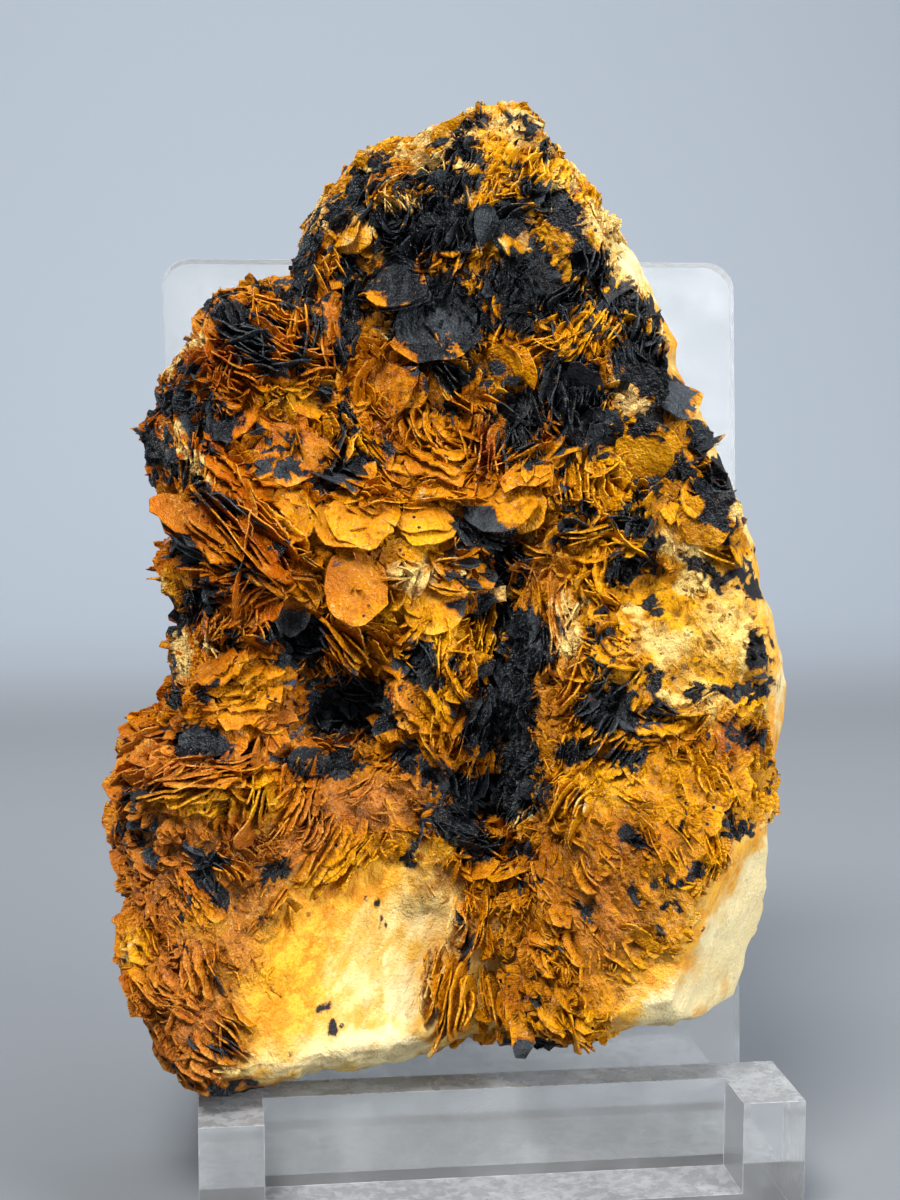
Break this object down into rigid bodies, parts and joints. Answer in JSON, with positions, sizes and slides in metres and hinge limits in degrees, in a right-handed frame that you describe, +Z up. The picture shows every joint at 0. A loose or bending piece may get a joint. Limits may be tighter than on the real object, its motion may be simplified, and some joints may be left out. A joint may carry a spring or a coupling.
{
  "type": "mineral specimen",
  "caption": "Barite hand specimen, pale massive base under crested orange and black blades, leaning upright on a clear moulded display easel.",
  "frame": {"origin": "on the table under the middle of the whole object's box", "axes": "+Z up, easel front and crystal face towards -Y, +X to the viewer's right"},
  "size_m": [0.069, 0.0518, 0.1072],
  "materials": {
    "barite": "crested blades, vitreous to waxy, orange over cream with black coating",
    "clear_acrylic": "clear moulded acrylic, polished, lightly scuffed"
  },
  "bodies": {
    "root": {"barite_cluster": "barite", "display_stand": "clear_acrylic"}
  },
  "joints": []
}
